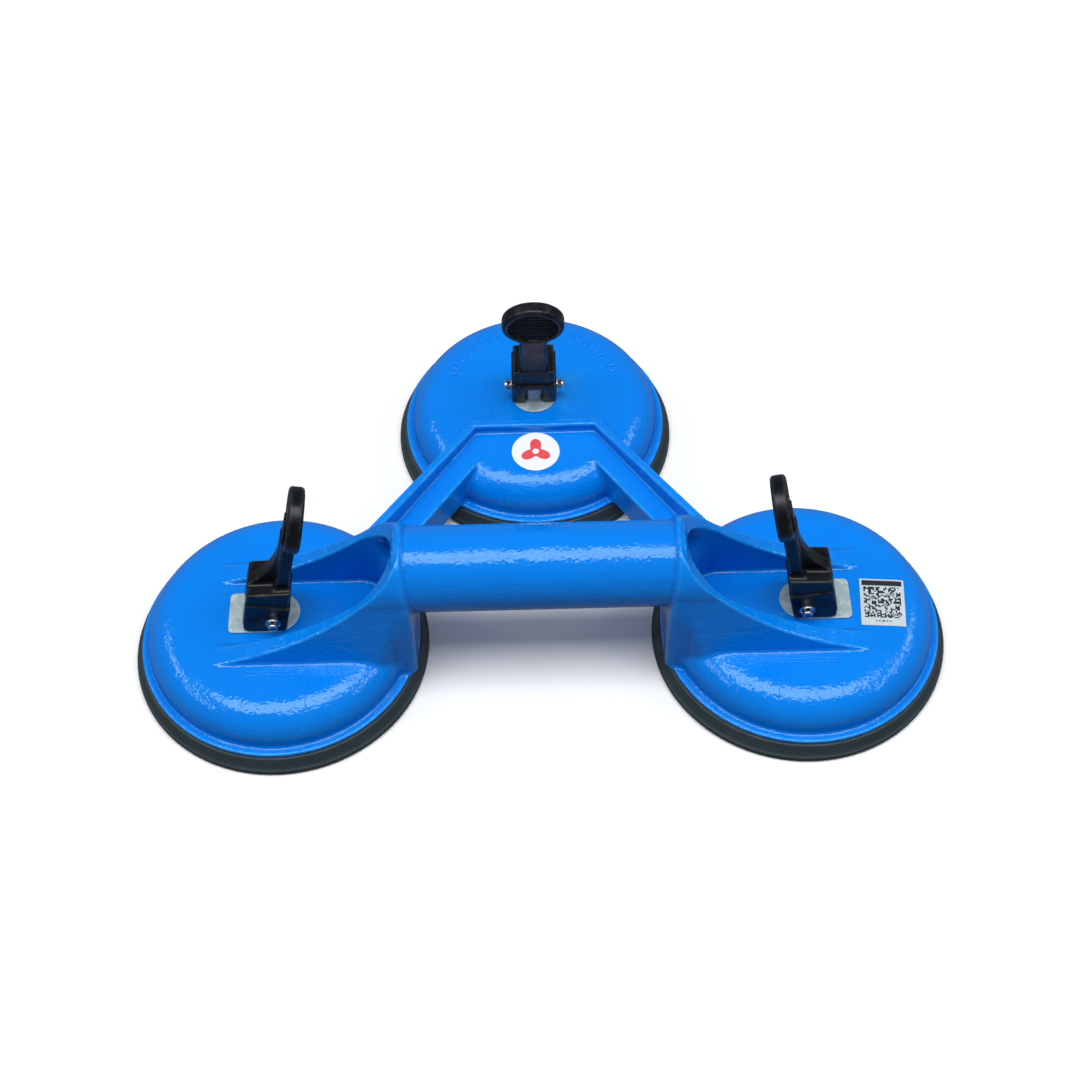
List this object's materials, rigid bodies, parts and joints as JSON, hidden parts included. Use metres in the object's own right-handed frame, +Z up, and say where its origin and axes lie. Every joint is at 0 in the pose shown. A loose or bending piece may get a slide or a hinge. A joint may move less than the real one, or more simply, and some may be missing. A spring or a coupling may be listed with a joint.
{
  "type": "triple vacuum suction cup lifter",
  "caption": "Triangular cast frame with a tubular handle on lever-operated rubber suction cups, for lifting and carrying glass, stone and sheet.",
  "frame": {"origin": "on the surface that the pads stand on, midway between the two front cups and the rear cup, at the centre of the footprint", "axes": "+Z up from the pads to the handle; +X along the handle, from the left cup to the right cup; +Y from the handle towards the rear cup"},
  "size_m": [0.3318, 0.2308, 0.1009],
  "materials": {
    "blue_paint": "gloss",
    "rubber": "satin",
    "black_plastic": "satin",
    "zinc_steel": "satin",
    "paper_label": "satin"
  },
  "bodies": {
    "frame": {"frame_casting": "blue_paint", "round_label": "paper_label", "code_label": "paper_label", "left_suction_pad": "rubber", "left_wear_plate": "zinc_steel", "right_suction_pad": "rubber", "right_wear_plate": "zinc_steel", "rear_suction_pad": "rubber", "rear_wear_plate": "zinc_steel"},
    "left_stud": {"left_pad_insert": "zinc_steel", "left_pull_stud": "zinc_steel", "left_pivot_pin": "zinc_steel", "left_pin_clip_near": "zinc_steel", "left_pin_clip_far": "zinc_steel"},
    "left_lever_arm": {"left_lever": "black_plastic"},
    "right_stud": {"right_pad_insert": "zinc_steel", "right_pull_stud": "zinc_steel", "right_pivot_pin": "zinc_steel", "right_pin_clip_near": "zinc_steel", "right_pin_clip_far": "zinc_steel"},
    "right_lever_arm": {"right_lever": "black_plastic"},
    "rear_stud": {"rear_pad_insert": "zinc_steel", "rear_pull_stud": "zinc_steel", "rear_pivot_pin": "zinc_steel", "rear_pin_clip_near": "zinc_steel", "rear_pin_clip_far": "zinc_steel"},
    "rear_lever_arm": {"rear_lever": "black_plastic"}
  },
  "joints": [
    {"name": "left_stud_lift", "type": "slide", "parent": "frame", "child": "left_stud", "axis": [0, 0, 1], "range_m": [0, 0.0054], "deforming": ["left_suction_pad"]},
    {"name": "left_lever_turn", "type": "hinge", "parent": "left_stud", "child": "left_lever_arm", "pos_m": [-0.1059, -0.05535, 0.0335], "axis": [0, -1, 0], "range_deg": [0, 102]},
    {"name": "right_stud_lift", "type": "slide", "parent": "frame", "child": "right_stud", "axis": [0, 0, 1], "range_m": [0, 0.0054], "deforming": ["right_suction_pad"]},
    {"name": "right_lever_turn", "type": "hinge", "parent": "right_stud", "child": "right_lever_arm", "pos_m": [0.1059, -0.05535, 0.0335], "axis": [0, 1, 0], "range_deg": [0, 102]},
    {"name": "rear_stud_lift", "type": "slide", "parent": "frame", "child": "rear_stud", "axis": [0, 0, 1], "range_m": [0, 0.0054], "deforming": ["rear_suction_pad"]},
    {"name": "rear_lever_turn", "type": "hinge", "parent": "rear_stud", "child": "rear_lever_arm", "pos_m": [0, 0.05535, 0.0335], "axis": [-1, 0, 0], "range_deg": [0, 102]}
  ],
  "couplings": [
    {"joint": "left_stud_lift", "follows": "left_lever_turn", "m_per_rad": 0.002921},
    {"joint": "right_stud_lift", "follows": "right_lever_turn", "m_per_rad": 0.002921},
    {"joint": "rear_stud_lift", "follows": "rear_lever_turn", "m_per_rad": 0.002921}
  ]
}
